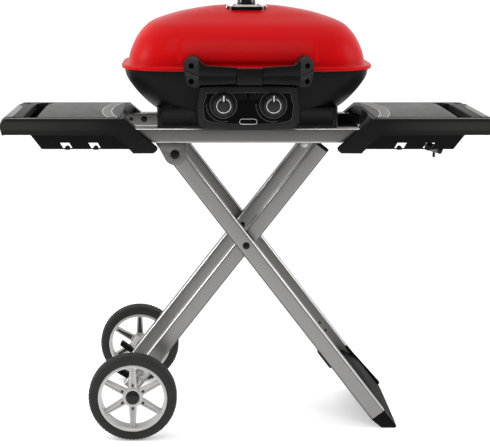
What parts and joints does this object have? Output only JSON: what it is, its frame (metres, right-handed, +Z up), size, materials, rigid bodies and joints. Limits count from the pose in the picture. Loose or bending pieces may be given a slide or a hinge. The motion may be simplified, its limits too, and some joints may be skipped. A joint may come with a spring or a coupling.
{
  "type": "gas grill on folding cart",
  "caption": "Gas grill with hinged oval lid, control knobs, cast grids and slide-out grease tray, on a folding scissor cart with side shelves and wheels.",
  "frame": {"origin": "centre of the object's box, on the floor that the wheels and feet stand on", "axes": "+X to the cook's right, along the shelves; +Y away from the cook, towards the lid's hinge; +Z up"},
  "size_m": [1.1194, 0.4926, 1.0027],
  "materials": {
    "rail": "satin metallic grey paint with a fine grain",
    "leg": "satin metallic warm grey paint",
    "bracket": "satin black paint",
    "bolt": "black oxide",
    "steel": "bright zinc",
    "chrome": "polished",
    "dial": "black face under a clear window",
    "foot": "moulded black, fine grain",
    "step": "moulded dark grey, fine ribs",
    "tyre": "matt black tread",
    "rim": "light grey moulding",
    "cap": "satin black",
    "shelf": "moulded black, fine leather grain",
    "shelf_top": "grey, fine grain",
    "grip": "light grey, satin",
    "bowl": "black satin enamel on a cast shell",
    "skirt": "black satin enamel",
    "panel": "satin black",
    "knob": "satin dark grey",
    "valve": "plain",
    "pipe": "dull",
    "burner": "stainless",
    "cast_iron": "porcelain coated",
    "tray": "pressed sheet",
    "lid": "glossy red enamel",
    "handle": "satin moulded, fine grain"
  },
  "bodies": {
    "cart_top": {"front_rail": "rail", "rear_rail": "rail", "cross_bar_left": "rail", "cross_bar_right": "rail", "slide_track_front": "rail", "slide_track_rear": "rail", "pivot_bracket_front": "bracket", "pivot_bracket_rear": "bracket", "pivot_bolt_front": "bolt", "pivot_bolt_rear": "bolt", "shelf_left": "shelf", "shelf_right": "shelf", "shelf_top_left": "shelf_top", "shelf_top_right": "shelf_top", "shelf_grip_left": "grip", "shelf_grip_right": "grip", "base_bowl": "bowl", "base_skirt": "skirt", "control_panel": "panel", "valve_manifold": "valve", "gas_pipe": "pipe", "gas_inlet": "valve", "burner_left": "burner", "burner_right": "burner", "heat_shield": "burner", "lower_handle": "handle", "hinge_pin": "steel"},
    "lid": {"lid_shell": "lid", "upper_handle": "handle", "thermometer_housing": "chrome", "thermometer_dial": "dial", "lid_hinge_left": "bracket", "lid_hinge_right": "bracket"},
    "outer_legs": {"outer_leg_front": "leg", "outer_leg_rear": "leg", "outer_foot_front": "foot", "outer_foot_rear": "foot", "foot_plate": "step", "cross_bolt_front": "bolt", "cross_bolt_rear": "bolt"},
    "inner_legs": {"inner_leg_front": "leg", "inner_leg_rear": "leg", "slide_cap_front": "foot", "slide_cap_rear": "foot", "standing_foot_front": "foot", "standing_foot_rear": "foot", "axle": "steel"},
    "front_wheel": {"front_tyre": "tyre", "front_rim": "rim", "front_hub_cap": "cap"},
    "rear_wheel": {"rear_tyre": "tyre", "rear_rim": "rim", "rear_hub_cap": "cap"},
    "left_valve_stem": {"stem_left": "steel"},
    "right_valve_stem": {"stem_right": "steel"},
    "left_knob": {"knob_left": "knob"},
    "right_knob": {"knob_right": "knob"},
    "tray": {"grease_tray": "tray"},
    "left_grid": {"cooking_grid_left": "cast_iron"},
    "right_grid": {"cooking_grid_right": "cast_iron"}
  },
  "joints": [
    {"name": "lid_hinge", "type": "hinge", "parent": "cart_top", "child": "lid", "pos_m": [0, 0.21575, 0.8455], "axis": [-1, 0, 0], "range_deg": [0, 95]},
    {"name": "outer_leg_fold", "type": "hinge", "parent": "cart_top", "child": "outer_legs", "pos_m": [-0.16315, 0.01075, 0.65412], "axis": [0, -1, 0], "range_deg": [0, 48.5]},
    {"name": "inner_leg_fold", "type": "hinge", "parent": "outer_legs", "child": "inner_legs", "pos_m": [0, 0.01075, 0.4415], "axis": [0, -1, 0], "range_deg": [-97.5, 0]},
    {"name": "front_wheel_spin", "type": "hinge", "parent": "inner_legs", "child": "front_wheel", "pos_m": [-0.26081, -0.20375, 0.1016], "axis": [0, 1, 0], "continuous": true},
    {"name": "rear_wheel_spin", "type": "hinge", "parent": "inner_legs", "child": "rear_wheel", "pos_m": [-0.26081, 0.22525, 0.1016], "axis": [0, 1, 0], "continuous": true},
    {"name": "left_knob_push", "type": "slide", "parent": "cart_top", "child": "left_valve_stem", "axis": [0, 1, 0], "range_m": [0, 0.003], "stiffness_N_per_m": 1500},
    {"name": "left_knob_turn", "type": "hinge", "parent": "left_valve_stem", "child": "left_knob", "pos_m": [-0.055, -0.189, 0.7716], "axis": [0, -1, 0], "range_deg": [0, 180]},
    {"name": "right_knob_push", "type": "slide", "parent": "cart_top", "child": "right_valve_stem", "axis": [0, 1, 0], "range_m": [0, 0.003], "stiffness_N_per_m": 1500},
    {"name": "right_knob_turn", "type": "hinge", "parent": "right_valve_stem", "child": "right_knob", "pos_m": [0.055, -0.189, 0.7716], "axis": [0, -1, 0], "range_deg": [0, 180]},
    {"name": "tray_slide", "type": "slide", "parent": "cart_top", "child": "tray", "axis": [0, 1, 0], "range_m": [0, 0.25]},
    {"name": "left_grid_lift", "type": "slide", "parent": "cart_top", "child": "left_grid", "axis": [0, 0, 1], "range_m": [0, 0.015]},
    {"name": "right_grid_lift", "type": "slide", "parent": "cart_top", "child": "right_grid", "axis": [0, 0, 1], "range_m": [0, 0.015]}
  ],
  "couplings": [
    {"joint": "inner_leg_fold", "follows": "outer_leg_fold", "ratio": -2}
  ]
}
